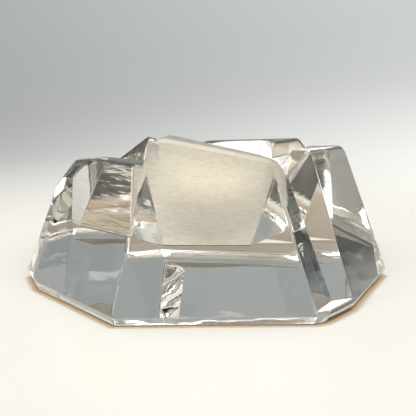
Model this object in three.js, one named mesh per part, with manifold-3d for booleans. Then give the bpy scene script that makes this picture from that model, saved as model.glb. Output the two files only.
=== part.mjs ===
// Glass votive holder with its tealight. Millimetres, +Z up, the front panel faces -Y.
// The origin is on the surface that the holder stands on, under the middle of the holder's box.

import * as THREE from 'three';
import { ConvexGeometry } from 'three/addons/geometries/ConvexGeometry.js';
import { mergeVertices } from 'three/addons/utils/BufferGeometryUtils.js';
import Module from 'manifold-3d';

const wasm = await Module();
wasm.setup();

// Block of pressed glass
const blockWidth = 133.5; // over the sharp corners of the foot
const blockDepth = 109.75;
const blockHeight = 59.6; // to the peak of the front panel's rim
const footHeight = 3.3; // the outline is widest here, above the chamfer of the foot
const footRadius = 1.3; // the widest edge
const footInset = 1; // how far the chamfer draws the outline in
const baseRadius = 1; // the edge of the flat underside
const edgeRadius = 2; // the upright edges and the rim, polished round by the flame
const rimSkin = 0.15; // the well is cut this much deeper than the wall's round rim

// The block's panels, in order round it, seen from above against the clock.
// corner: the panel's first foot corner, from the block's middle, in halves of its width and depth.
// lean: degrees by which the panel leans in towards the top.
// rim: points of the panel's top edge, each a share of its width from the first corner and one of the height.
const panels = [
  { name: 'front', corner: [-0.46, -1], lean: 13, rim: [[0, 0.985], [0.1, 1], [0.99, 0.89], [1, 0.885]] },
  { name: 'step', corner: [0.535, -0.965], lean: 20, rim: [[0, 0.885], [0.4, 0.87], [1, 0.74]] },
  { name: 'front_right', corner: [0.63, -0.725], lean: 13.5, rim: [[0, 0.74], [1, 0.9]] },
  { name: 'right', corner: [0.745, -0.655], lean: 18, rim: [[0, 0.9], [0.13, 0.895], [0.95, 0.84], [1, 0.82]] },
  { name: 'back_right', corner: [1, 0.18], lean: 20, rim: [[0, 0.82], [1, 0.735]] },
  { name: 'back_bevel', corner: [0.87, 0.565], lean: 12.5, rim: [[0, 0.735], [1, 0.73]] },
  { name: 'back', corner: [0.585, 0.83], lean: 15, rim: [[0, 0.73], [0.07, 0.82], [0.7, 0.805], [1, 0.7]] },
  { name: 'back_step', corner: [-0.135, 0.82], lean: 15, rim: [[0, 0.7], [1, 0.8]] },
  { name: 'back_left', corner: [-0.26, 1], lean: 15, rim: [[0, 0.8], [0.06, 0.81], [1, 0.665]] },
  { name: 'left_back', corner: [-0.66, 0.855], lean: 18, rim: [[0, 0.665], [0.4, 0.67], [1, 0.61]] },
  { name: 'left', corner: [-1, 0.145], lean: 19.5, rim: [[0, 0.61], [0.9, 0.78], [1, 0.79]] },
  { name: 'front_left', corner: [-0.92, -0.195], lean: 18, rim: [[0, 0.79], [0.3, 0.83], [1, 0.855]] },
];
const footStop = [0.585, -0.9]; // the foot's own corner, before the nook between step and front_right

// Tealight
const cupRadius = 19;
const cupHeight = 15;
const cupWall = 0.7;
const cupFillet = 1.6;
const cupSeat = 0.3; // gap between the cup and the floor that it stands on
const waxHeight = 11.5;
const waxClimb = 0.7; // how far the wax creeps up the cup's wall
const waxGap = 0.3;
const wickRadius = 1;
const wickStand = 7; // wick that shows above the wax
const wickCurl = 1.6;
const clipRadius = 6.3;
const clipThickness = 0.4;
const clipNeckRadius = 1.9;
const clipNeckHeight = 3;

// Well, a funnel with a flat floor
const floorHeight = 19.3;
const wellEdgeRadius = 1; // where the walls meet the floor
const wellCornerRadius = 4; // between the walls, at the cutter's top
const cupClearance = 3; // room round the cup, for the rounded edge of the floor and for fingers
const wellReach = cupRadius + cupClearance; // from the well's centre to the nearest walls, at the floor
const wellCentre = new THREE.Vector2(1.3, -1.1); // from the block's middle
const wellClearance = 6; // the cutter stands this far above the highest rim
// The well's walls: where each faces, 0 being the front and 90 the right, how it opens upward, and how much
// farther than the nearest ones it stands.
const wellWalls = [
  { facing: 0, lean: -15, room: 0 },
  { facing: 62, lean: -22, room: 0 },
  { facing: 122, lean: -18, room: 0 },
  { facing: 180, lean: -12, room: 0 },
  { facing: 225, lean: -14, room: 10 },
  { facing: 288, lean: -3, room: 14 },
  { facing: 316, lean: -18.5, room: 5 },
];

const toRadians = THREE.MathUtils.degToRad;

// Turns a closed three.js geometry into a solid that can be cut and joined.
function toSolid(geometry) {
  const bare = geometry.clone();
  for (const name of Object.keys(bare.attributes)) {
    if (name !== 'position') bare.deleteAttribute(name);
  }
  const merged = mergeVertices(bare, 1e-4);
  return new wasm.Manifold(new wasm.Mesh({
    numProp: 3,
    vertProperties: new Float32Array(merged.attributes.position.array),
    triVerts: new Uint32Array(merged.index.array),
  }));
}

function toGeometry(solid) {
  const mesh = solid.getMesh();
  const geometry = new THREE.BufferGeometry();
  geometry.setAttribute('position', new THREE.BufferAttribute(mesh.vertProperties, 3));
  geometry.setIndex(new THREE.BufferAttribute(mesh.triVerts, 1));
  geometry.computeVertexNormals();
  return geometry;
}

const unitBall = new THREE.IcosahedronGeometry(1, 1).attributes.position;

// A ball in a rounded corner: a place seen from above, the height of its centre, and its radius.
function makeBall(place, z, radius) {
  return { centre: new THREE.Vector3(place.x, place.y, z), radius };
}

// The convex body stretched over balls, so that they round its corners and edges.
function hullOfBalls(balls) {
  const points = [];
  for (const { centre, radius } of balls) {
    for (let i = 0; i < unitBall.count; i++) {
      const point = new THREE.Vector3().fromBufferAttribute(unitBall, i);
      points.push(point.multiplyScalar(radius).add(centre));
    }
  }
  return toSolid(new ConvexGeometry(points));
}

// A leaning plane: it faces an azimuth, and its distance from a centre changes with the height.
function makePlane(facing, reach, height, lean, centre = new THREE.Vector2()) {
  const angle = toRadians(facing);
  const normal = new THREE.Vector2(Math.sin(angle), -Math.cos(angle));
  const slope = Math.tan(toRadians(lean));
  const perRadius = 1 / Math.cos(toRadians(lean));
  return {
    normal,
    // The distance at height z of the plane moved in by a ball's radius.
    distance: (z, inset) => reach + normal.dot(centre) - (z - height) * slope - inset * perRadius,
  };
}

// Where two planes cross at height z.
function crossing(a, b, z, inset) {
  const da = a.distance(z, inset);
  const db = b.distance(z, inset);
  const det = a.normal.cross(b.normal);
  return new THREE.Vector2(da * b.normal.y - db * a.normal.y, db * a.normal.x - da * b.normal.x).divideScalar(det);
}

const halfSize = new THREE.Vector2(blockWidth / 2, blockDepth / 2);
const footCorners = panels.map(({ corner }) => new THREE.Vector2(...corner).multiply(halfSize));

const panelPlanes = panels.map(({ lean }, i) => {
  const start = footCorners[i];
  const along = footCorners[(i + 1) % panels.length].clone().sub(start);
  const facing = THREE.MathUtils.radToDeg(Math.atan2(along.y, along.x));
  const normal = new THREE.Vector2(along.y, -along.x).normalize();
  return makePlane(facing, normal.dot(start), footHeight, lean);
});

const wallPlanes = wellWalls.map(({ facing, lean, room }) =>
  makePlane(facing, wellReach + room, floorHeight, lean, wellCentre));

// The corners, at height z, of a ring of planes.
function ringAt(planes, z, inset) {
  return planes.map((plane, i) => crossing(planes.at(i - 1), plane, z, inset));
}

// From a point on the rim straight towards the well's centre, as far as the well's wall.
function rimInside(outer, z, inset) {
  const away = outer.clone().sub(wellCentre);
  const direction = away.clone().normalize();
  let reach = away.length();
  for (const wall of wallPlanes) {
    const facing = wall.normal.dot(direction);
    if (facing > 0) {
      reach = Math.min(reach, (wall.distance(z, -inset) - wall.normal.dot(wellCentre)) / facing);
    }
  }
  return wellCentre.clone().addScaledVector(direction, reach);
}

// The foot's rounded corner where two panels meet.
function footBalls(a, b) {
  return [
    makeBall(crossing(a, b, footHeight, footRadius), footHeight, footRadius),
    makeBall(crossing(a, b, footHeight, baseRadius + footInset), baseRadius, baseRadius),
  ];
}

// One panel with the glass behind it, down to the foot and in to the block's middle.
function makePanel(index) {
  const previous = panelPlanes.at(index - 1);
  const own = panelPlanes[index];
  const next = panelPlanes[(index + 1) % panels.length];
  const balls = [
    makeBall(wellCentre, baseRadius, baseRadius),
    makeBall(wellCentre, floorHeight, edgeRadius),
    ...footBalls(previous, own),
    ...footBalls(own, next),
  ];
  for (const [share, rise] of panels[index].rim) {
    const z = rise * blockHeight - edgeRadius;
    const first = crossing(previous, own, z, edgeRadius);
    const last = crossing(own, next, z, edgeRadius);
    const outer = first.lerp(last, share);
    const inner = rimInside(outer, z, edgeRadius - rimSkin);
    balls.push(makeBall(outer, z, edgeRadius), makeBall(inner, z, edgeRadius));
  }
  return hullOfBalls(balls);
}

// The foot under all panels: one plate, which also bridges the nook between the step and its neighbour.
function makeFoot() {
  const stop = new THREE.Vector2(...footStop).multiply(halfSize);
  return hullOfBalls([
    ...panelPlanes.flatMap((plane, i) => footBalls(panelPlanes.at(i - 1), plane)),
    makeBall(stop, footHeight, footRadius),
    makeBall(stop.clone().setLength(stop.length() - footInset), baseRadius, baseRadius),
  ]);
}

// The cutter for the well. Its corners are sharp at the floor and rounder towards the top.
function makeWell() {
  const levels = [
    { z: floorHeight + wellEdgeRadius, radius: wellEdgeRadius },
    { z: blockHeight + wellClearance, radius: wellCornerRadius },
  ];
  return hullOfBalls(levels.flatMap(({ z, radius }) =>
    ringAt(wallPlanes, z, radius).map((corner) => makeBall(corner, z, radius))));
}

function makeHolder() {
  const block = panels.map((_, i) => makePanel(i)).reduce((sum, panel) => sum.add(panel));
  return toGeometry(block.add(makeFoot()).subtract(makeWell()));
}

// Pieces of the tealight are turned about its axis, each from the bottom of the cup up.
function turned(profile, segments) {
  return new THREE.LatheGeometry(profile.map(([radius, z]) => new THREE.Vector2(radius, z)), segments)
    .rotateX(Math.PI / 2);
}

// Points on a quarter circle that rounds the bottom outer edge of a turned piece.
function filletPoints(radius, bottom, fillet, steps = 3) {
  return Array.from({ length: steps + 1 }, (_, i) => {
    const angle = (i / steps) * (Math.PI / 2);
    return [radius - fillet + fillet * Math.sin(angle), bottom + fillet - fillet * Math.cos(angle)];
  });
}

function makeCup() {
  const inside = cupRadius - cupWall;
  const lip = cupWall / 2;
  return turned([
    [0, 0],
    ...filletPoints(cupRadius, 0, cupFillet),
    [cupRadius, cupHeight - lip],
    [cupRadius - lip, cupHeight],
    [inside, cupHeight - lip],
    ...filletPoints(inside, cupWall, cupFillet - cupWall).reverse(),
    [0, cupWall],
  ], 64);
}

const clipBottom = cupWall + waxGap;
const waxRadius = cupRadius - cupWall - waxGap;
const neckHole = clipNeckRadius + waxGap;
const wickHole = wickRadius + waxGap;

function makeWax() {
  const bottom = clipBottom + clipThickness + waxGap;
  const neckTop = clipBottom + clipNeckHeight + waxGap;
  return turned([
    [neckHole, bottom],
    ...filletPoints(waxRadius, bottom, cupFillet - cupWall),
    [waxRadius, waxHeight + waxClimb],
    [waxRadius - waxClimb, waxHeight],
    [wickHole, waxHeight],
    [wickHole, neckTop],
    [neckHole, neckTop],
    [neckHole, bottom],
  ], 64);
}

function makeClip() {
  const socket = wickRadius + waxGap;
  return turned([
    [0, clipBottom],
    [clipRadius, clipBottom],
    [clipRadius, clipBottom + clipThickness],
    [clipNeckRadius, clipBottom + clipThickness],
    [clipNeckRadius, clipBottom + clipNeckHeight],
    [socket, clipBottom + clipNeckHeight],
    [socket, clipBottom + clipThickness],
    [0, clipBottom + clipThickness],
  ], 32);
}

function makeWick() {
  const bottom = clipBottom + clipThickness + waxGap;
  const top = waxHeight + wickStand;
  const path = new THREE.CatmullRomCurve3([
    new THREE.Vector3(0, 0, bottom),
    new THREE.Vector3(0, 0, (bottom + waxHeight) / 2),
    new THREE.Vector3(0, 0, waxHeight),
    new THREE.Vector3(wickCurl / 4, 0, waxHeight + wickStand * 0.6),
    new THREE.Vector3(wickCurl, 0, top),
  ]);
  const section = new THREE.Shape().absarc(0, 0, wickRadius, 0, 2 * Math.PI, false);
  return new THREE.ExtrudeGeometry(section, { steps: 16, curveSegments: 6, extrudePath: path });
}

function makeMesh(name, geometry, look) {
  const mesh = new THREE.Mesh(geometry, new THREE.MeshStandardMaterial(look));
  mesh.name = name;
  return mesh;
}

const clearGlass = { color: 0xe8ecea, roughness: 0.02, metalness: 0, transparent: true, opacity: 0.35 };
const clearPlastic = { color: 0xf1f2ee, roughness: 0.08, metalness: 0, transparent: true, opacity: 0.4 };
const ivoryWax = { color: 0xefe6d2, roughness: 0.45, metalness: 0 };
const tinnedSteel = { color: 0xb9b9b5, roughness: 0.3, metalness: 1 };
const cotton = { color: 0xf2eee2, roughness: 0.9, metalness: 0 };

const tealight = new THREE.Group();
tealight.position.set(wellCentre.x, wellCentre.y, floorHeight + cupSeat);
tealight.add(
  makeMesh('tealight_cup', makeCup(), clearPlastic),
  makeMesh('tealight_wax', makeWax(), ivoryWax),
  makeMesh('wick_sustainer', makeClip(), tinnedSteel),
  makeMesh('wick', makeWick(), cotton),
);

const holder = makeMesh('glass_holder', makeHolder(), clearGlass);
const middle = new THREE.Box3().setFromObject(holder).getCenter(new THREE.Vector3());

const votive = new THREE.Group();
votive.position.set(-middle.x, -middle.y, 0);
votive.add(holder, tealight);

export default votive;
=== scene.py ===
"""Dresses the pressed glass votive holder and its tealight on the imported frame, and lights them."""

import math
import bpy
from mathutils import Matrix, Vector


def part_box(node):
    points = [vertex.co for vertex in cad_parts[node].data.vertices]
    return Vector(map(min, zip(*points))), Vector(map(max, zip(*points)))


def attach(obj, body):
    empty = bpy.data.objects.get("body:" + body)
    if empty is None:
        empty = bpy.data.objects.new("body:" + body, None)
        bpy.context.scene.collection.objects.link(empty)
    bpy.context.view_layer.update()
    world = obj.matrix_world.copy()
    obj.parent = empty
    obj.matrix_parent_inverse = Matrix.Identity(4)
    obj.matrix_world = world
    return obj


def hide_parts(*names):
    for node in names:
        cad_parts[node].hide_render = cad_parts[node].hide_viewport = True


bl_info = {
    "name": "Glass Votive Holder",
    "version": (1, 0, 0),
    "blender": (4, 5, 0),
    "location": "3D View > Sidebar > Votive",
    "description": "Dresses a pressed glass votive holder with its tealight and sets its stage",
    "category": "Object",
}

import bmesh
import bpy
from mathutils import Vector

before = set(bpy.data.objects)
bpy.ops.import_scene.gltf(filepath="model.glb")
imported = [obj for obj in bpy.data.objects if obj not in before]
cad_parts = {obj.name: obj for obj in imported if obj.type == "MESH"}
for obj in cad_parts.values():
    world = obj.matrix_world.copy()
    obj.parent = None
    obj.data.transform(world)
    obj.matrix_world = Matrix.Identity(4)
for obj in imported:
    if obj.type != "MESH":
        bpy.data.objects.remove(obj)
MM = 0.001
HOLDER_BODY = "holder"
TEALIGHT_BODY = "tealight"

HOLDER_LOW, HOLDER_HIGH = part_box("glass_holder")
CUP_LOW, CUP_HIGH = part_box("tealight_cup")
WAX_LOW, WAX_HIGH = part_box("tealight_wax")
WICK_LOW, WICK_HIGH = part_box("wick")
AXIS = (CUP_LOW + CUP_HIGH) / 2  # of the well and of the tealight in it

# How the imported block's loose triangles become whole faces.
SAME_POINT = 0.002 * MM  # points nearer than this are one
SAME_FACE = math.radians(0.5)  # triangles that meet at less than this lie in one face
CREASE = math.radians(32)  # faces that meet at more than this keep a sharp line between them

# The three kinds of glass on the block, and how a face is sorted by the way it points.
POLISHED, SATIN, RIPPLED = range(3)
LEVEL = 0.9  # a face is level when it points up more than this
INWARDS = -0.3  # a face is a wall of the well when it points away from the axis less than this
SATIN_FACING = 0.8  # a wall of the well is satin when it points to the front or the back more than this

WAX_CLIMB = 0.7 * MM  # how far the wax has climbed at the cup's wall
FLOOR_REACH = 12  # radius of the floor in metres, so that its edge lies at the horizon
FLOOR_GAP = 0.1 * MM  # air between the glass and the floor, so that the underside still mirrors
GLASS_BOUNCES = 32  # a ray meets many faces before it leaves the block
MIRROR_BOUNCES = 16  # a ray that is only mirrored meets fewer

WAVE_REPEAT = 0.3  # metres in which a wave texture of scale 1 repeats
# A Mix node's colour sockets share their names with others of its sockets, so they go by their places.
MIX_SHARE, MIX_LOW, MIX_HIGH, MIX_COLOUR = 0, 6, 7, 2

# What the camera sees behind the object: the floor's glow and a grey backdrop that darkens upwards.
# Each stop is an elevation in degrees, an sRGB hex colour and a strength.
BACKDROP_SEEN = (
    (-90, "FFFEF8", 1), (-15, "FFFEF8", 1), (-12, "F8F7F2", 1), (-9.5, "E8E9E6", 1), (-8, "D9DBD8", 1),
    (-7, "CED0CE", 1), (-6, "C5C8C7", 1), (-4, "C3C7C6", 1), (2, "CCD0CF", 1), (90, "CCD0CF", 1),
)
BACKDROP_SIDES = (0.75, 1.1)  # its brightness at the picture's left and right edges
# What lights the glass from behind it, and from the camera's side of the room.
BACKDROP = (
    (-90, "E6DFD3", 0.9), (-20, "CEC5B8", 1), (-8, "B2ADA4", 1), (0, "A4A7A6", 1), (12, "A0A4A3", 1),
    (28, "9EA1A0", 1), (38, "B4AFA6", 1), (50, "D2CBBE", 1), (62, "FFF8EA", 1.1), (80, "FFFFFF", 2),
)
ROOM = (
    (-90, "FFFDF6", 1), (-35, "FFFDF6", 1), (-22, "D6D0C6", 1), (0, "D8D2C8", 1), (14, "E0DACF", 1),
    (28, "D8D2C8", 1), (40, "C8BFB0", 1), (52, "E2D8C8", 1), (66, "FFF8EA", 1.2), (80, "FFFFFF", 2),
)
BEHIND = (0.3, 0.55)  # how far back a direction points where the room ends and where the backdrop is full
# The posts' middle and height and the softness of their ends, in degrees of elevation.
POST_BAND = (10, 54, 8)
POST_EDGE = (0.7, 0.3)  # shares of a post's width at which its soft edge ends and begins
# Cards and gaps in the room: azimuth from behind the object and to the right, elevation, width and height,
# all in degrees, how soft the edge is, an sRGB hex colour and a strength.
CARDS = {
    "dark doorway": (-50, 8, 50, 30, 8, "1C1E20", 1),
    "window up on the left": (-66, 56, 76, 24, 8, "F4E2C4", 0.7),
    "softbox over the camera": (180, 46, 130, 30, 8, "FFFCF4", 6),
    "lamp over the camera": (170, 17, 22, 8, 3, "FFF4E2", 1.4),
    "dark gap behind the camera": (175, 3, 44, 18, 5, "14171A", 1),
}


class GlassSettings(bpy.types.PropertyGroup):
    """Pressed and fire-polished soda-lime glass."""

    tint: bpy.props.StringProperty(
        name="Tint", description="Colour that the glass gives to light, as sRGB hex", default="FBFCFA")
    refraction: bpy.props.FloatProperty(
        name="IOR", description="Index of refraction of soda-lime glass", default=1.52, min=1.0, max=2.0)
    wave_width: bpy.props.FloatProperty(
        name="Wave Width", description="Width of the shallow waves that the polishing flame leaves",
        default=14 * MM, min=1 * MM, unit="LENGTH")
    wave_height: bpy.props.FloatProperty(
        name="Wave Height", description="Height of those waves", default=0.1 * MM, min=0, unit="LENGTH")
    ripple_width: bpy.props.FloatProperty(
        name="Ripple Width", description="Width of the ripples on the well's slanting sides",
        default=2.2 * MM, min=0.1 * MM, unit="LENGTH")
    ripple_height: bpy.props.FloatProperty(
        name="Ripple Height", description="Height of those ripples", default=0.05 * MM, min=0,
        unit="LENGTH")
    ripple_roughness: bpy.props.FloatProperty(
        name="Ripple Roughness", description="How much the rippled sides blur what shows in them",
        default=0.06, min=0, max=1, subtype="FACTOR")
    satin_tint: bpy.props.StringProperty(
        name="Satin Tint", description="Colour of the pressed satin face, as sRGB hex", default="FFFBF1")
    satin_shade: bpy.props.StringProperty(
        name="Satin Shade", description="Colour in that face's grain, as sRGB hex", default="F3ECDF")
    satin_roughness: bpy.props.FloatProperty(
        name="Satin Roughness", description="How much the satin face scatters light", default=0.55,
        min=0, max=1, subtype="FACTOR")
    satin_clearness: bpy.props.FloatProperty(
        name="Satin Clearness", description="Share of the light that the satin face lets through",
        default=0.3, min=0, max=1, subtype="FACTOR")
    grain_width: bpy.props.FloatProperty(
        name="Grain Width", description="Width of the fine grain that the plunger presses into the well",
        default=0.7 * MM, min=0.1 * MM, unit="LENGTH")
    grain_height: bpy.props.FloatProperty(
        name="Grain Height", description="Height of that grain", default=0.08 * MM, min=0, unit="LENGTH")


class TealightSettings(bpy.types.PropertyGroup):
    """Tealight in a clear cup."""

    cup_colour: bpy.props.StringProperty(
        name="Cup", description="Colour that the cup gives to light, as sRGB hex", default="F7F7F3")
    wax_colour: bpy.props.StringProperty(
        name="Wax", description="Colour of the wax, as sRGB hex", default="EADFC8")
    wax_light_colour: bpy.props.StringProperty(
        name="Light Wax", description="Colour of the wax's paler clouds, as sRGB hex", default="F1E8D6")
    meniscus: bpy.props.FloatProperty(
        name="Meniscus", description="Width of the wax's climb at the cup's wall", default=1.2 * MM,
        unit="LENGTH")
    steel_colour: bpy.props.StringProperty(
        name="Tinplate", description="Colour of the sustainer's metal, as sRGB hex", default="C9C8C4")
    cotton_colour: bpy.props.StringProperty(
        name="Cotton", description="Colour of the wick, as sRGB hex", default="F0EADC")
    # Painted shade between the wick's fibres.
    painted_fibre_shade: bpy.props.StringProperty(
        name="Cotton Shade", description="Colour between the wick's fibres, as sRGB hex", default="D8CFB8")
    strands: bpy.props.IntProperty(
        name="Strands", description="Strands of the wick's braid", default=3, min=2)
    strand_radius: bpy.props.FloatProperty(
        name="Strand Radius", description="Half the thickness of a strand", default=0.5 * MM,
        unit="LENGTH")
    braid_radius: bpy.props.FloatProperty(
        name="Braid Radius", description="From the middle of the wick to the middle of a strand",
        default=0.45 * MM, unit="LENGTH")
    braid_pitch: bpy.props.FloatProperty(
        name="Braid Pitch", description="Length of wick in which a strand goes round once", default=4 * MM,
        unit="LENGTH")


class StageSettings(bpy.types.PropertyGroup):
    """Floor, studio and camera."""

    floor_colour: bpy.props.StringProperty(
        name="Floor", description="Colour of the floor, as sRGB hex", default="B6B6B4")
    floor_radius: bpy.props.FloatProperty(
        name="Floor Radius", description="Where the floor has faded out", default=0.34, min=0.1,
        unit="LENGTH")
    # Painted shadow: the floor's colour in an oval behind the glass.
    shadow_colour: bpy.props.StringProperty(
        name="Shadow", description="Colour of the floor in the glass's shadow, as sRGB hex",
        default="8A8074")
    # Painted shadow: the contact shadow's warm tone and its dark line under the foot.
    shade_colour: bpy.props.StringProperty(
        name="Contact Shadow", description="Colour of the floor just outside the foot, as sRGB hex",
        default="BCA488")
    shade_width: bpy.props.FloatProperty(
        name="Contact Shadow Width", description="How far that shadow reaches", default=4 * MM,
        unit="LENGTH")
    contact_line_shadow_colour: bpy.props.StringProperty(
        name="Contact Line", description="Colour of the floor in the narrow gap under the foot, as sRGB hex",
        default="4A4036")
    # Painted shade: the floor's colour under the glass, where little light gets.
    under_glass_shade_colour: bpy.props.StringProperty(
        name="Board under the Glass", description="Colour of the floor under the glass, as sRGB hex",
        default="605E58")
    post_spacing: bpy.props.FloatProperty(
        name="Post Spacing", description="Angle from one dark post between the room's windows to the next",
        default=math.radians(36), subtype="ANGLE")
    post_width: bpy.props.FloatProperty(
        name="Post Width", description="Angle that a post takes up", default=math.radians(16),
        subtype="ANGLE")
    post_colour: bpy.props.StringProperty(
        name="Post", description="Colour of the posts, as sRGB hex", default="14171A")
    backdrop_slant: bpy.props.FloatProperty(
        name="Backdrop Slant", description="How much the backdrop's shading climbs towards the left",
        default=0.12, min=0)
    picture_angle: bpy.props.FloatProperty(
        name="Picture Angle", description="Half the angle that the picture takes in",
        default=math.radians(9.5), subtype="ANGLE")
    lamp_place: bpy.props.FloatVectorProperty(
        name="Lamp Place", description="Where the soft lamp hangs", default=(0, 0.1, 1.2), unit="LENGTH")
    lamp_size: bpy.props.FloatProperty(
        name="Lamp Size", description="Side of the soft square lamp", default=0.85, min=0.1,
        unit="LENGTH")
    lamp_power: bpy.props.FloatProperty(
        name="Lamp Power", description="Power of the soft lamp", default=9, min=0, unit="POWER")
    camera_offset: bpy.props.FloatProperty(
        name="Camera Offset", description="How far the lens is to the right of the middle",
        default=0.4 * MM, unit="LENGTH")
    camera_height: bpy.props.FloatProperty(
        name="Camera Height", description="Height of the lens over the floor", default=0.115,
        unit="LENGTH")
    camera_distance: bpy.props.FloatProperty(
        name="Camera Distance", description="From the lens to the front of the object", default=0.3683,
        unit="LENGTH")
    camera_tilt: bpy.props.FloatProperty(
        name="Camera Tilt", description="How far the camera looks down", default=math.radians(11.62),
        subtype="ANGLE")
    lens: bpy.props.FloatProperty(
        name="Lens", description="Focal length in millimetres on a 36 mm sensor", default=103.5,
        min=20, max=300)


def linear(hex_colour, strength=1):
    """Turns an sRGB hex colour into linear red, green and blue at a strength, and a full alpha."""
    shares = [int(hex_colour[i:i + 2], 16) / 255 for i in (0, 2, 4)]
    return [strength * (s / 12.92 if s <= 0.04045 else ((s + 0.055) / 1.055) ** 2.4) for s in shares] + [1]


def add_node(tree, kind, settings=None, links=None):
    """Adds a node, sets its properties and its inputs by name or place, and links sockets to its inputs."""
    node = tree.nodes.new(kind)
    for name, value in (settings or {}).items():
        if isinstance(name, str) and hasattr(node, name):
            setattr(node, name, value)
        else:
            node.inputs[name].default_value = value
    for name, socket in (links or {}).items():
        tree.links.new(socket, node.inputs[name])
    return node


def set_stops(ramp, stops):
    """Gives a colour ramp its stops, each a position and a linear colour."""
    elements = ramp.color_ramp.elements
    while len(elements) < len(stops):
        elements.new(0.5)
    for element, (position, colour) in zip(elements, stops):
        element.position = position
        element.color = colour


def new_material(name):
    """Makes an empty node material and returns it with its tree."""
    material = bpy.data.materials.new(name)
    material.use_nodes = True
    material.node_tree.nodes.clear()
    return material, material.node_tree


def new_object(name, data):
    """Puts a new object with its data in the scene."""
    thing = bpy.data.objects.new(name, data)
    bpy.context.scene.collection.objects.link(thing)
    return thing


def new_mesh(name, shape):
    """Turns a finished bmesh into a mesh."""
    mesh = bpy.data.meshes.new(name)
    shape.to_mesh(mesh)
    shape.free()
    return mesh


def make_polished_glass(settings):
    """Soda-lime glass, pressed and fire-polished: clear and glossy, with waves that bend what it shows."""
    material, tree = new_material("polished soda-lime glass")
    place = add_node(tree, "ShaderNodeTexCoord")
    waves = add_node(tree, "ShaderNodeTexNoise", {
        "Scale": 1 / settings.wave_width, "Detail": 1, "Roughness": 0.3},
        {"Vector": place.outputs["Object"]})
    bump = add_node(tree, "ShaderNodeBump", {"Distance": settings.wave_height},
                    {"Height": waves.outputs["Fac"]})
    glass = add_node(tree, "ShaderNodeBsdfPrincipled", {
        "Base Color": linear(settings.tint), "Roughness": 0, "IOR": settings.refraction,
        "Transmission Weight": 1}, {"Normal": bump.outputs["Normal"]})
    add_node(tree, "ShaderNodeOutputMaterial", links={"Surface": glass.outputs["BSDF"]})
    return material


def make_satin_glass(settings):
    """The same glass where the plunger pressed it: milky and satin, so that it hides what is behind it."""
    material, tree = new_material("plunger-pressed satin glass")
    place = add_node(tree, "ShaderNodeTexCoord")
    # The grain lies level, about three times as long as it is high. Real grain is finer, and this is as
    # coarse as it needs to be to show.
    level = add_node(tree, "ShaderNodeMapping", {"Scale": (0.3, 0.3, 1)},
                     {"Vector": place.outputs["Object"]})
    grain = add_node(tree, "ShaderNodeTexNoise", {
        "Scale": 1 / settings.grain_width, "Detail": 3, "Roughness": 0.6},
        {"Vector": level.outputs["Vector"]})
    bump = add_node(tree, "ShaderNodeBump", {"Distance": settings.grain_height},
                    {"Height": grain.outputs["Fac"]})
    milk = add_node(tree, "ShaderNodeValToRGB", links={"Fac": grain.outputs["Fac"]})
    set_stops(milk, ((0.35, linear(settings.satin_shade)), (0.6, linear(settings.satin_tint))))
    glass = add_node(tree, "ShaderNodeBsdfPrincipled", {
        "Roughness": settings.satin_roughness, "IOR": settings.refraction,
        "Transmission Weight": settings.satin_clearness},
        {"Base Color": milk.outputs["Color"], "Normal": bump.outputs["Normal"]})
    add_node(tree, "ShaderNodeOutputMaterial", links={"Surface": glass.outputs["BSDF"]})
    return material


def make_rippled_glass(settings):
    """The same glass on the well's slanting sides: clear and glossy, with level ripples from the plunger."""
    material, tree = new_material("rippled soda-lime glass")
    place = add_node(tree, "ShaderNodeTexCoord")
    # The ripples are five times as long as they are high.
    level = add_node(tree, "ShaderNodeMapping", {"Scale": (0.2, 0.2, 1)},
                     {"Vector": place.outputs["Object"]})
    ripples = add_node(tree, "ShaderNodeTexNoise", {
        "Scale": 1 / settings.ripple_width, "Detail": 2, "Roughness": 0.5},
        {"Vector": level.outputs["Vector"]})
    bump = add_node(tree, "ShaderNodeBump", {"Distance": settings.ripple_height},
                    {"Height": ripples.outputs["Fac"]})
    glass = add_node(tree, "ShaderNodeBsdfPrincipled", {
        "Base Color": linear(settings.tint), "Roughness": settings.ripple_roughness,
        "IOR": settings.refraction, "Transmission Weight": 1}, {"Normal": bump.outputs["Normal"]})
    add_node(tree, "ShaderNodeOutputMaterial", links={"Surface": glass.outputs["BSDF"]})
    return material


def make_clear_plastic(settings):
    """Polycarbonate, injection moulded: clear and glossy, with faint rings from the melt's outward flow."""
    material, tree = new_material("clear moulded polycarbonate")
    ring_spacing = 1.5 * MM
    ring_height = 0.01 * MM
    place = add_node(tree, "ShaderNodeTexCoord")
    centred = add_node(tree, "ShaderNodeMapping", {"Location": (-AXIS.x, -AXIS.y, 0)},
                       {"Vector": place.outputs["Object"]})
    rings = add_node(tree, "ShaderNodeTexWave", {
        "wave_type": "RINGS", "rings_direction": "Z", "Scale": WAVE_REPEAT / ring_spacing, "Distortion": 2,
        "Detail": 1}, {"Vector": centred.outputs["Vector"]})
    bump = add_node(tree, "ShaderNodeBump", {"Distance": ring_height}, {"Height": rings.outputs["Fac"]})
    plastic = add_node(tree, "ShaderNodeBsdfPrincipled", {
        "Base Color": linear(settings.cup_colour), "Roughness": 0.05, "IOR": 1.58,
        "Transmission Weight": 1}, {"Normal": bump.outputs["Normal"]})
    add_node(tree, "ShaderNodeOutputMaterial", links={"Surface": plastic.outputs["BSDF"]})
    return material


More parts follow.
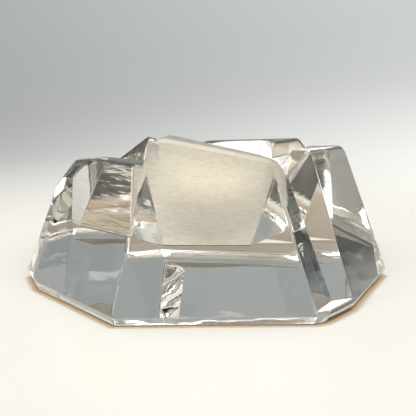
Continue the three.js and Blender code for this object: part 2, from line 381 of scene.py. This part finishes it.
def make_ivory_wax(settings):
    """Paraffin and stearin, poured: an ivory body that light enters, with a satin skin and pale clouds."""
    material, tree = new_material("poured ivory wax")
    cloud_width = 4 * MM
    crystal_width = 1.6 * MM
    crystal_height = 0.05 * MM
    light_depth = 4 * MM
    place = add_node(tree, "ShaderNodeTexCoord")
    clouds = add_node(tree, "ShaderNodeTexNoise", {
        "Scale": 1 / cloud_width, "Detail": 4, "Roughness": 0.6}, {"Vector": place.outputs["Object"]})
    colour = add_node(tree, "ShaderNodeValToRGB", links={"Fac": clouds.outputs["Fac"]})
    set_stops(colour, ((0.35, linear(settings.wax_colour)), (0.7, linear(settings.wax_light_colour))))
    crystals = add_node(tree, "ShaderNodeTexVoronoi", {"Scale": 1 / crystal_width},
                        {"Vector": place.outputs["Object"]})
    bump = add_node(tree, "ShaderNodeBump", {"Distance": crystal_height, "Strength": 0.6},
                    {"Height": crystals.outputs["Distance"]})
    wax = add_node(tree, "ShaderNodeBsdfPrincipled", {
        "Roughness": 0.42, "IOR": 1.44, "Subsurface Weight": 0.5, "Subsurface Scale": light_depth},
        {"Base Color": colour.outputs["Color"], "Normal": bump.outputs["Normal"]})
    add_node(tree, "ShaderNodeOutputMaterial", links={"Surface": wax.outputs["BSDF"]})
    return material


def make_tinplate(settings):
    """Tinplate, stamped from rolled strip: a bright grey metal with fine lines along the strip."""
    material, tree = new_material("stamped tinplate")
    line_width = 0.3 * MM  # the rolls' own lines are finer, and this is as coarse as they need to be to show
    line_height = 0.01 * MM
    place = add_node(tree, "ShaderNodeTexCoord")
    along = add_node(tree, "ShaderNodeMapping", {"Scale": (0.1, 1, 1)},
                     {"Vector": place.outputs["Object"]})
    lines = add_node(tree, "ShaderNodeTexNoise", {"Scale": 1 / line_width, "Detail": 2},
                     {"Vector": along.outputs["Vector"]})
    dull = add_node(tree, "ShaderNodeMapRange", {"To Min": 0.22, "To Max": 0.42},
                    {"Value": lines.outputs["Fac"]})
    bump = add_node(tree, "ShaderNodeBump", {"Distance": line_height}, {"Height": lines.outputs["Fac"]})
    steel = add_node(tree, "ShaderNodeBsdfPrincipled", {
        "Base Color": linear(settings.steel_colour), "Metallic": 1},
        {"Roughness": dull.outputs["Result"], "Normal": bump.outputs["Normal"]})
    add_node(tree, "ShaderNodeOutputMaterial", links={"Surface": steel.outputs["BSDF"]})
    return material


def make_cotton(settings):
    """Cotton, braided and primed with wax: a matt off-white, with painted shade a little darker between its
    fine fibres.
    """
    material, tree = new_material("braided cotton")
    fibre_width = 0.12 * MM  # a real fibre is finer, and this is as coarse as it needs to be to show
    fibre_height = 0.03 * MM
    place = add_node(tree, "ShaderNodeTexCoord")
    along = add_node(tree, "ShaderNodeMapping", {"Scale": (1, 1, 0.2)},
                     {"Vector": place.outputs["Object"]})
    fibres = add_node(tree, "ShaderNodeTexNoise", {"Scale": 1 / fibre_width, "Detail": 2},
                      {"Vector": along.outputs["Vector"]})
    # Painted shade: darker where the fibres' bump is low, between them.
    colour = add_node(tree, "ShaderNodeValToRGB", links={"Fac": fibres.outputs["Fac"]})
    set_stops(colour, ((0.3, linear(settings.painted_fibre_shade)), (0.6, linear(settings.cotton_colour))))
    bump = add_node(tree, "ShaderNodeBump", {"Distance": fibre_height}, {"Height": fibres.outputs["Fac"]})
    cotton = add_node(tree, "ShaderNodeBsdfPrincipled", {"Roughness": 0.85, "Sheen Weight": 0.3},
                      {"Base Color": colour.outputs["Color"], "Normal": bump.outputs["Normal"]})
    add_node(tree, "ShaderNodeOutputMaterial", links={"Surface": cotton.outputs["BSDF"]})
    return material


def merged_copy(node, name):
    """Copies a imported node's mesh with its loose triangles merged and its flat faces made whole."""
    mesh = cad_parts[node].data.copy()
    mesh.name = name
    mesh.materials.clear()
    shape = bmesh.new()
    shape.from_mesh(mesh)
    bmesh.ops.remove_doubles(shape, verts=shape.verts, dist=SAME_POINT)
    bmesh.ops.dissolve_limit(shape, angle_limit=SAME_FACE, verts=shape.verts, edges=shape.edges)
    for face in shape.faces:
        face.smooth = True
    for edge in shape.edges:
        edge.smooth = edge.calc_face_angle(0) < CREASE
    shape.to_mesh(mesh)
    shape.free()
    return new_object(name, mesh)


def glass_look(face):
    """The glass of a face: satin on the well's front, back and floor, and rippled on its other walls."""
    out = Vector((face.center.x - AXIS.x, face.center.y - AXIS.y, 0))
    on_floor = face.normal.z > LEVEL and face.center.z < CUP_LOW.z + 1 * MM
    on_wall = out.length > 0 and face.normal.dot(out.normalized()) <= INWARDS
    if on_floor or (on_wall and abs(face.normal.y) > SATIN_FACING):
        return SATIN
    return RIPPLED if on_wall else POLISHED


def turned(name, profile, segments=96):
    """Turns a closed profile, or one that starts and ends on the tealight's axis, round that axis."""
    shape = bmesh.new()
    turn = 2 * math.pi / segments
    rings = []
    for radius, z in profile:
        count = segments if radius > 0 else 1
        rings.append([
            shape.verts.new((AXIS.x + radius * math.cos(i * turn), AXIS.y + radius * math.sin(i * turn), z))
            for i in range(count)])
    for low, high in zip(rings, rings[1:]):
        for i in range(segments):
            corners = (low[i % len(low)], low[(i + 1) % len(low)],
                       high[(i + 1) % len(high)], high[i % len(high)])
            shape.faces.new(list(dict.fromkeys(corners))).smooth = True
    bmesh.ops.remove_doubles(shape, verts=shape.verts, dist=SAME_POINT)
    bmesh.ops.recalc_face_normals(shape, faces=shape.faces)
    return new_object(name, new_mesh(name, shape))


def make_cup():
    """The clear cup, as moulded: each point is a radius and a height, from under its middle to over it."""
    radius = (CUP_HIGH.x - CUP_LOW.x) / 2
    low, high = CUP_LOW.z, CUP_HIGH.z
    wall = radius - 0.25 * MM
    inside = radius - 0.75 * MM
    raised_bottom = [(0, low + 0.45 * MM), (radius - 4 * MM, low + 0.45 * MM),
                     (radius - 3.4 * MM, low + 0.1 * MM)]
    ring_foot = [(radius - 3 * MM, low), (radius - 2.2 * MM, low)]
    round_corner = [(radius - 1.2 * MM, low + 0.25 * MM), (radius - 0.5 * MM, low + 0.9 * MM),
                    (wall, low + 1.8 * MM)]
    beaded_lip = [(wall, high - 1.2 * MM), (radius, high - 0.9 * MM), (radius, high - 0.35 * MM),
                  (radius - 0.2 * MM, high), (radius - 0.5 * MM, high)]
    hollow = [(inside, high - 0.3 * MM), (inside, low + 2.2 * MM), (inside - 0.4 * MM, low + 1.2 * MM),
              (inside - 1.3 * MM, low + 0.75 * MM), (0, low + 0.75 * MM)]
    return turned("tealight_clear_cup", [*raised_bottom, *ring_foot, *round_corner, *beaded_lip, *hollow])


def make_wax(settings):
    """The wax: flat underneath, with a skin that dips towards the wick and climbs at the cup's wall."""
    radius = (WAX_HIGH.x - WAX_LOW.x) / 2
    low, high = WAX_LOW.z, WAX_HIGH.z
    lower_edge = 0.9 * MM
    play = 0.15 * MM
    wick_hole = (WICK_HIGH.y - WICK_LOW.y) / 2 + play
    neck_hole = 2.2 * MM  # room for the sustainer's neck, which narrows from its shoulder to its top
    shoulder = low + 2.3 * MM
    top = low + 2.6 * MM
    dip = 0.25 * MM
    dip_width = 4 * MM
    steps = 24
    skin = []
    for i in range(steps + 1):
        reach = wick_hole + (radius - wick_hole) * i / steps
        climb = WAX_CLIMB * math.exp(-(radius - reach) / settings.meniscus)
        skin.append((reach, high - WAX_CLIMB + climb - dip * math.exp(-reach / dip_width)))
    profile = [(neck_hole, low), (radius - lower_edge, low), (radius, low + lower_edge), *reversed(skin),
               (wick_hole, top), (neck_hole, shoulder), (neck_hole, low)]
    return turned("tealight_poured_wax", profile)


def braid_tree(settings, material):
    """Geometry Nodes that lay strands in a helix round the wick's path and give them their thickness."""
    tree = bpy.data.node_groups.new("braided wick", "GeometryNodeTree")
    face = tree.interface
    face.new_socket("Geometry", in_out="INPUT", socket_type="NodeSocketGeometry")
    sizes = (("Strands", "Int", settings.strands), ("Strand Radius", "Float", settings.strand_radius),
             ("Pitch", "Float", settings.braid_pitch))
    for name, kind, value in sizes:
        face.new_socket(name, in_out="INPUT", socket_type="NodeSocket" + kind).default_value = value
    face.new_socket("Geometry", in_out="OUTPUT", socket_type="NodeSocketGeometry")
    start = add_node(tree, "NodeGroupInput")
    path = add_node(tree, "GeometryNodeResampleCurve", {"Count": 90}, {"Curve": start.outputs["Geometry"]})
    strands = add_node(tree, "GeometryNodeDuplicateElements", {"domain": "SPLINE"}, {
        "Geometry": path.outputs["Curve"], "Amount": start.outputs["Strands"]})
    # A strand's angle is its turns so far, and its share of a turn among the strands.
    along = add_node(tree, "GeometryNodeSplineParameter")
    turns = add_node(tree, "ShaderNodeMath", {"operation": "DIVIDE"}, {
        0: along.outputs["Length"], 1: start.outputs["Pitch"]})
    share = add_node(tree, "ShaderNodeMath", {"operation": "DIVIDE"}, {
        0: strands.outputs["Duplicate Index"], 1: start.outputs["Strands"]})
    both = add_node(tree, "ShaderNodeMath", {"operation": "ADD"}, {
        0: turns.outputs["Value"], 1: share.outputs["Value"]})
    angle = add_node(tree, "ShaderNodeMath", {"operation": "MULTIPLY", 1: 2 * math.pi}, {
        0: both.outputs["Value"]})
    offset = add_node(tree, "ShaderNodeVectorRotate", {
        "rotation_type": "Z_AXIS", "Vector": (settings.braid_radius, 0, 0)},
        {"Angle": angle.outputs["Value"]})
    moved = add_node(tree, "GeometryNodeSetPosition", links={
        "Geometry": strands.outputs["Geometry"], "Offset": offset.outputs["Vector"]})
    section = add_node(tree, "GeometryNodeCurvePrimitiveCircle", {"Resolution": 8},
                       {"Radius": start.outputs["Strand Radius"]})
    body = add_node(tree, "GeometryNodeCurveToMesh", {"Fill Caps": True}, {
        "Curve": moved.outputs["Geometry"], "Profile Curve": section.outputs["Curve"]})
    real = add_node(tree, "GeometryNodeRealizeInstances", links={"Geometry": body.outputs["Mesh"]})
    dressed = add_node(tree, "GeometryNodeSetMaterial", {"Material": material},
                       {"Geometry": real.outputs["Geometry"]})
    add_node(tree, "NodeGroupOutput", links={"Geometry": dressed.outputs["Geometry"]})
    return tree


def make_wick(settings, material):
    """The braided wick: upright in the wax, and gently curled over it."""
    radius = (WICK_HIGH.y - WICK_LOW.y) / 2
    # The path leans and reaches a little less than the solid does, so that the strands stay inside its box.
    lean = 0.85 * (WICK_HIGH.x - radius - AXIS.x)
    room = 0.5 * MM
    low, high = WICK_LOW.z, WICK_HIGH.z - room
    wax = WAX_HIGH.z - WAX_CLIMB
    spans = 23
    path = bpy.data.curves.new("wick path", "CURVE")
    path.dimensions = "3D"
    line = path.splines.new("POLY")
    line.points.add(spans)
    for i, point in enumerate(line.points):
        z = low + (high - low) * i / spans
        rise = max(0, (z - wax) / (high - wax))
        point.co = (AXIS.x + lean * rise * rise, AXIS.y, z, 1)
    source = new_object("wick path", path)
    source.modifiers.new("braid", "NODES").node_group = braid_tree(settings, material)
    whole = bpy.data.meshes.new_from_object(source.evaluated_get(bpy.context.evaluated_depsgraph_get()))
    bpy.data.objects.remove(source)
    for face in whole.polygons:
        face.use_smooth = True
    return new_object("wick_braid", whole)


class VOTIVE_OT_holder(bpy.types.Operator):
    """Make the block of pressed glass"""

    bl_idname = "votive.holder"
    bl_label = "Glass Holder"

    def execute(self, context):
        settings = context.scene.votive_glass
        piece = merged_copy("glass_holder", "pressed_glass_block")
        for make_glass in (make_polished_glass, make_satin_glass, make_rippled_glass):
            piece.data.materials.append(make_glass(settings))
        for face in piece.data.polygons:
            face.material_index = glass_look(face)
        weighted = piece.modifiers.new("flat faces stay flat", "WEIGHTED_NORMAL")
        weighted.weight = 100  # the largest face at a corner decides its shading
        weighted.keep_sharp = True
        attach(piece, HOLDER_BODY)
        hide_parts("glass_holder")
        return {"FINISHED"}


class VOTIVE_OT_cup(bpy.types.Operator):
    """Make the tealight's clear cup"""

    bl_idname = "votive.cup"
    bl_label = "Tealight Cup"

    def execute(self, context):
        piece = make_cup()
        piece.data.materials.append(make_clear_plastic(context.scene.votive_tealight))
        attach(piece, TEALIGHT_BODY)
        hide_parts("tealight_cup")
        return {"FINISHED"}


class VOTIVE_OT_wax(bpy.types.Operator):
    """Pour the tealight's wax"""

    bl_idname = "votive.wax"
    bl_label = "Tealight Wax"

    def execute(self, context):
        settings = context.scene.votive_tealight
        piece = make_wax(settings)
        piece.data.materials.append(make_ivory_wax(settings))
        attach(piece, TEALIGHT_BODY)
        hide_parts("tealight_wax")
        return {"FINISHED"}


class VOTIVE_OT_wick(bpy.types.Operator):
    """Braid the tealight's wick"""

    bl_idname = "votive.wick"
    bl_label = "Wick"

    def execute(self, context):
        settings = context.scene.votive_tealight
        piece = make_wick(settings, make_cotton(settings))
        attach(piece, TEALIGHT_BODY)
        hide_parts("wick")
        return {"FINISHED"}


class VOTIVE_OT_sustainer(bpy.types.Operator):
    """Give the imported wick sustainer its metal"""

    bl_idname = "votive.sustainer"
    bl_label = "Wick Sustainer"

    def execute(self, context):
        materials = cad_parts["wick_sustainer"].data.materials
        materials.clear()
        materials.append(make_tinplate(context.scene.votive_tealight))
        return {"FINISHED"}


def make_board(settings):
    """Painted board: satin white, with a painted shadow of the glass in an oval behind it, and faded out
    long before its edge.
    """
    material, tree = new_material("satin white board")
    fade_start = 0.3 * settings.floor_radius
    shadow_middle = (0, 0.9 * HOLDER_HIGH.y, 0)
    shadow_reach = (1.1 * HOLDER_HIGH.x, 1.7 * HOLDER_HIGH.y, 1)
    shadow_core = 0.4  # share of the shadow's reach at which it is full
    place = add_node(tree, "ShaderNodeTexCoord")
    reach = add_node(tree, "ShaderNodeVectorMath", {"operation": "LENGTH"}, {
        "Vector": place.outputs["Object"]})
    fade = add_node(tree, "ShaderNodeMapRange", {
        "interpolation_type": "SMOOTHSTEP", "From Min": fade_start, "From Max": settings.floor_radius},
        {"Value": reach.outputs["Value"]})
    # Painted shadow: inside an oval behind the glass the floor's colour turns to the shadow colour.
    centred = add_node(tree, "ShaderNodeMapping", {
        "vector_type": "TEXTURE", "Location": shadow_middle, "Scale": shadow_reach},
        {"Vector": place.outputs["Object"]})
    away = add_node(tree, "ShaderNodeVectorMath", {"operation": "LENGTH"}, {
        "Vector": centred.outputs["Vector"]})
    shadow = add_node(tree, "ShaderNodeMapRange", {
        "interpolation_type": "SMOOTHSTEP", "From Min": 1, "From Max": shadow_core},
        {"Value": away.outputs["Value"]})
    colour = add_node(tree, "ShaderNodeMix", {
        "data_type": "RGBA", MIX_LOW: linear(settings.floor_colour),
        MIX_HIGH: linear(settings.shadow_colour)}, {MIX_SHARE: shadow.outputs["Result"]})
    board = add_node(tree, "ShaderNodeBsdfPrincipled", {"Roughness": 0.35, "Specular IOR Level": 0.3},
                     {"Base Color": colour.outputs[MIX_COLOUR]})
    clear = add_node(tree, "ShaderNodeBsdfTransparent")
    faded = add_node(tree, "ShaderNodeMixShader", links={
        0: fade.outputs["Result"], 1: board.outputs["BSDF"], 2: clear.outputs["BSDF"]})
    add_node(tree, "ShaderNodeOutputMaterial", links={"Surface": faded.outputs["Shader"]})
    return material


def make_floor(settings):
    """A round sheet of board, a hair under the glass."""
    shape = bmesh.new()
    bmesh.ops.create_circle(shape, cap_ends=True, segments=96, radius=FLOOR_REACH)
    bmesh.ops.translate(shape, verts=shape.verts, vec=(0, 0, -FLOOR_GAP))
    floor = new_object("floor", new_mesh("floor", shape))
    floor.data.materials.append(make_board(settings))


def foot_outline():
    """The holder's outline on the floor: the corners of its underside in order round the middle."""
    directions = 180
    underside = 0.05 * MM  # points lower than this are on the underside
    same_corner = 0.5 * MM  # corners nearer than this are one
    foot = [v.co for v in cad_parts["glass_holder"].data.vertices if v.co.z < underside]
    corners = []
    for step in range(directions):
        turn = 2 * math.pi * step / directions
        way = Vector((math.cos(turn), math.sin(turn), 0))
        far = max(foot, key=way.dot)
        if not corners or (far - corners[-1]).length > same_corner:
            corners.append(Vector((far.x, far.y, 0)))
    if (corners[0] - corners[-1]).length < same_corner:
        corners.pop()
    return corners


def make_painted_under_shade(settings):
    """Painted shade under the glass: the same board, matt and dark, since little light gets there."""
    material, tree = new_material("painted shade under the glass")
    board = add_node(tree, "ShaderNodeBsdfPrincipled", {
        "Base Color": linear(settings.under_glass_shade_colour), "Roughness": 0.9, "Specular IOR Level": 0})
    add_node(tree, "ShaderNodeOutputMaterial", links={"Surface": board.outputs["BSDF"]})
    return material


def make_shaded_board(settings, line_depth):
    """The same board round the foot, with painted shade: a dark line where they meet, and a warm painted
    shadow that fades outwards.
    """
    material, tree = new_material("contact shadow")
    depth = add_node(tree, "ShaderNodeAttribute", {"attribute_name": "depth"})
    tone = add_node(tree, "ShaderNodeValToRGB", links={"Fac": depth.outputs["Fac"]})
    set_stops(tone, ((line_depth, linear(settings.shade_colour)), (1, linear(settings.contact_line_shadow_colour))))
    board = add_node(tree, "ShaderNodeBsdfPrincipled", {"Roughness": 0.9, "Specular IOR Level": 0},
                     {"Base Color": tone.outputs["Color"]})
    clear = add_node(tree, "ShaderNodeBsdfTransparent")
    faded = add_node(tree, "ShaderNodeMixShader", links={
        0: depth.outputs["Fac"], 1: clear.outputs["BSDF"], 2: board.outputs["BSDF"]})
    add_node(tree, "ShaderNodeOutputMaterial", links={"Surface": faded.outputs["Shader"]})
    return material


def make_shade(settings):
    """The painted contact shadow: the painted shade under the glass, and two rings of painted shadow round
    its outline.
    """
    line_depth = 0.8
    # The shadow's depth on each ring's edge, and how far out that edge is as a share of the shadow's width.
    edges = ((1, 0), (line_depth, 0.35), (0, 1))
    corners = foot_outline()
    shape = bmesh.new()
    depth = shape.verts.layers.float.new("depth")
    rings = []
    for dark, share in edges:
        ring = []
        for corner in corners:
            out = corner.normalized() * (settings.shade_width * share)
            vert = shape.verts.new(corner + out - Vector((0, 0, FLOOR_GAP / 2)))
            vert[depth] = dark
            ring.append(vert)
        rings.append(ring)
    # The inner face is the painted shade under the glass.
    shape.faces.new(rings[0]).material_index = 1  # the dim board
    for inner, outer in zip(rings, rings[1:]):
        for i, vert in enumerate(inner):
            j = (i + 1) % len(inner)
            shape.faces.new((vert, outer[i], outer[j], inner[j]))
    bmesh.ops.recalc_face_normals(shape, faces=shape.faces)
    shade = new_object("shade round the foot", new_mesh("shade round the foot", shape))
    shade.data.materials.append(make_shaded_board(settings, line_depth))
    shade.data.materials.append(make_painted_under_shade(settings))


def at_elevations(stops):
    """Turns stops over the elevation into positions on a ramp from straight down to straight up."""
    return [(0.5 + elevation / 180, linear(colour, strength)) for elevation, colour, strength in stops]


def window(tree, value, middle, width, soft):
    """One where a value in radians lies in a band, nothing outside it, and in between at its soft edges.

    The band's middle, width and softness are in degrees.
    """
    off = add_node(tree, "ShaderNodeMath", {"operation": "SUBTRACT", 1: math.radians(middle)}, {0: value})
    turn = add_node(tree, "ShaderNodeMath", {"operation": "WRAP", 1: math.pi, 2: -math.pi},
                    {0: off.outputs["Value"]})
    far = add_node(tree, "ShaderNodeMath", {"operation": "ABSOLUTE"}, {0: turn.outputs["Value"]})
    edge = add_node(tree, "ShaderNodeMapRange", {
        "interpolation_type": "SMOOTHSTEP", "From Min": math.radians((width + soft) / 2),
        "From Max": math.radians((width - soft) / 2)}, {"Value": far.outputs["Value"]})
    return edge.outputs["Result"]


def room_light(settings, tree, way, elevation, azimuth, height):
    """What the glass shows: the room with its dark posts in front, the backdrop behind, and the cards."""
    fold = add_node(tree, "ShaderNodeMath", {"operation": "PINGPONG", 1: settings.post_spacing / 2},
                    {0: azimuth})
    post = add_node(tree, "ShaderNodeMapRange", {
        "interpolation_type": "SMOOTHSTEP", "From Min": settings.post_width * POST_EDGE[0],
        "From Max": settings.post_width * POST_EDGE[1]}, {"Value": fold.outputs["Value"]})
    posts = add_node(tree, "ShaderNodeMath", {"operation": "MULTIPLY"}, {
        0: post.outputs["Result"], 1: window(tree, elevation, *POST_BAND)})
    room = add_node(tree, "ShaderNodeValToRGB", links={"Fac": height})
    set_stops(room, at_elevations(ROOM))
    front = add_node(tree, "ShaderNodeMix", {"data_type": "RGBA", MIX_HIGH: linear(settings.post_colour)}, {
        MIX_SHARE: posts.outputs["Value"], MIX_LOW: room.outputs["Color"]})
    back = add_node(tree, "ShaderNodeValToRGB", links={"Fac": height})
    set_stops(back, at_elevations(BACKDROP))
    behind = add_node(tree, "ShaderNodeMapRange", {
        "interpolation_type": "SMOOTHSTEP", "From Min": BEHIND[0], "From Max": BEHIND[1]},
        {"Value": way["Y"]})
    light = add_node(tree, "ShaderNodeMix", {"data_type": "RGBA"}, {
        MIX_SHARE: behind.outputs["Result"], MIX_LOW: front.outputs[MIX_COLOUR],
        MIX_HIGH: back.outputs["Color"]})
    for across, up, width, tall, soft, colour, strength in CARDS.values():
        card = add_node(tree, "ShaderNodeMath", {"operation": "MULTIPLY"}, {
            0: window(tree, azimuth, across, width, soft), 1: window(tree, elevation, up, tall, soft)})
        light = add_node(tree, "ShaderNodeMix", {"data_type": "RGBA", MIX_HIGH: linear(colour, strength)}, {
            MIX_SHARE: card.outputs["Value"], MIX_LOW: light.outputs[MIX_COLOUR]})
    return light.outputs[MIX_COLOUR]


def seen_backdrop(settings, tree, way, height):
    """What the camera sees: the floor's glow and a grey backdrop that is darker upwards and to the left."""
    slant = add_node(tree, "ShaderNodeMath", {
        "operation": "MULTIPLY_ADD", 1: -settings.backdrop_slant / math.pi}, {0: way["X"], 2: height})
    tones = add_node(tree, "ShaderNodeValToRGB", links={"Fac": slant.outputs["Value"]})
    set_stops(tones, at_elevations(BACKDROP_SEEN))
    side = add_node(tree, "ShaderNodeMapRange", {
        "From Min": -settings.picture_angle, "From Max": settings.picture_angle,
        "To Min": BACKDROP_SIDES[0], "To Max": BACKDROP_SIDES[1]}, {"Value": way["X"]})
    seen = add_node(tree, "ShaderNodeVectorMath", {"operation": "SCALE"}, {
        0: tones.outputs["Color"], "Scale": side.outputs["Result"]})
    return seen.outputs["Vector"]


def make_studio(settings):
    """A pale studio: the room lights the glass, and the camera sees a plain backdrop."""
    world = bpy.data.worlds.new("studio")
    world.use_nodes = True
    tree = world.node_tree
    tree.nodes.clear()
    place = add_node(tree, "ShaderNodeTexCoord")
    way = add_node(tree, "ShaderNodeSeparateXYZ", links={"Vector": place.outputs["Generated"]}).outputs
    elevation = add_node(tree, "ShaderNodeMath", {"operation": "ARCSINE"}, {0: way["Z"]}).outputs["Value"]
    azimuth = add_node(tree, "ShaderNodeMath", {"operation": "ARCTAN2"}, {
        0: way["X"], 1: way["Y"]}).outputs["Value"]
    height = add_node(tree, "ShaderNodeMapRange", {"From Min": -math.pi / 2, "From Max": math.pi / 2},
                      {"Value": elevation}).outputs["Result"]
    light = room_light(settings, tree, way, elevation, azimuth, height)
    backdrop = seen_backdrop(settings, tree, way, height)
    ray = add_node(tree, "ShaderNodeLightPath")
    colour = add_node(tree, "ShaderNodeMix", {"data_type": "RGBA"}, {
        MIX_SHARE: ray.outputs["Is Camera Ray"], MIX_LOW: light, MIX_HIGH: backdrop})
    background = add_node(tree, "ShaderNodeBackground", {"Strength": 1},
                          {"Color": colour.outputs[MIX_COLOUR]})
    add_node(tree, "ShaderNodeOutputWorld", links={"Surface": background.outputs["Background"]})
    bpy.context.scene.world = world


def make_lamp(settings):
    """A soft square lamp overhead, turned to the middle of the floor."""
    data = bpy.data.lights.new("soft light overhead", "AREA")
    data.size = settings.lamp_size
    data.energy = settings.lamp_power
    lamp = new_object("soft light overhead", data)
    lamp.location = settings.lamp_place
    lamp.rotation_euler = (-Vector(settings.lamp_place)).to_track_quat("-Z", "Y").to_euler()


def make_camera(settings):
    """The photograph's view: from the front and a little above."""
    camera = new_object("camera", bpy.data.cameras.new("camera"))
    camera.data.lens = settings.lens
    camera.data.sensor_width = 36
    camera.location = (
        settings.camera_offset, HOLDER_LOW.y - settings.camera_distance, settings.camera_height)
    camera.rotation_euler = (math.pi / 2 - settings.camera_tilt, 0, 0)
    bpy.context.scene.camera = camera


class VOTIVE_OT_stage(bpy.types.Operator):
    """Make the floor, the studio light and the camera"""

    bl_idname = "votive.stage"
    bl_label = "Stage"

    def execute(self, context):
        scene = context.scene
        settings = scene.votive_stage
        make_floor(settings)
        make_shade(settings)
        make_studio(settings)
        make_lamp(settings)
        make_camera(settings)
        scene.view_settings.view_transform = "Standard"
        scene.cycles.max_bounces = GLASS_BOUNCES
        scene.cycles.transmission_bounces = GLASS_BOUNCES
        scene.cycles.glossy_bounces = MIRROR_BOUNCES
        return {"FINISHED"}


class VOTIVE_PT_panel(bpy.types.Panel):
    """Lists the pieces and their settings"""

    bl_label = "Glass Votive Holder"
    bl_idname = "VOTIVE_PT_panel"
    bl_space_type = "VIEW_3D"
    bl_region_type = "UI"
    bl_category = "Votive"

    def draw(self, context):
        for operator in OPERATORS:
            self.layout.operator(operator.bl_idname)
        for name in SETTINGS:
            group = getattr(context.scene, name)
            for key in group.__annotations__:
                self.layout.prop(group, key)


SETTINGS = {
    "votive_glass": GlassSettings,
    "votive_tealight": TealightSettings,
    "votive_stage": StageSettings,
}
OPERATORS = (
    VOTIVE_OT_holder, VOTIVE_OT_cup, VOTIVE_OT_wax, VOTIVE_OT_wick, VOTIVE_OT_sustainer, VOTIVE_OT_stage)
CLASSES = (*SETTINGS.values(), *OPERATORS, VOTIVE_PT_panel)


def register():
    """Registers the classes and puts the settings on the scene."""
    for cls in CLASSES:
        bpy.utils.register_class(cls)
    for name, group in SETTINGS.items():
        setattr(bpy.types.Scene, name, bpy.props.PointerProperty(type=group))


def unregister():
    """Takes the settings and the classes away again."""
    for name in SETTINGS:
        delattr(bpy.types.Scene, name)
    for cls in reversed(CLASSES):
        bpy.utils.unregister_class(cls)


def main():
    """Makes every piece and the stage."""
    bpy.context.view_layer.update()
    register()
    bpy.ops.votive.holder()
    bpy.ops.votive.cup()
    bpy.ops.votive.wax()
    bpy.ops.votive.wick()
    bpy.ops.votive.sustainer()
    bpy.ops.votive.stage()
    bpy.context.view_layer.update()


if __name__ == "__main__":
    main()
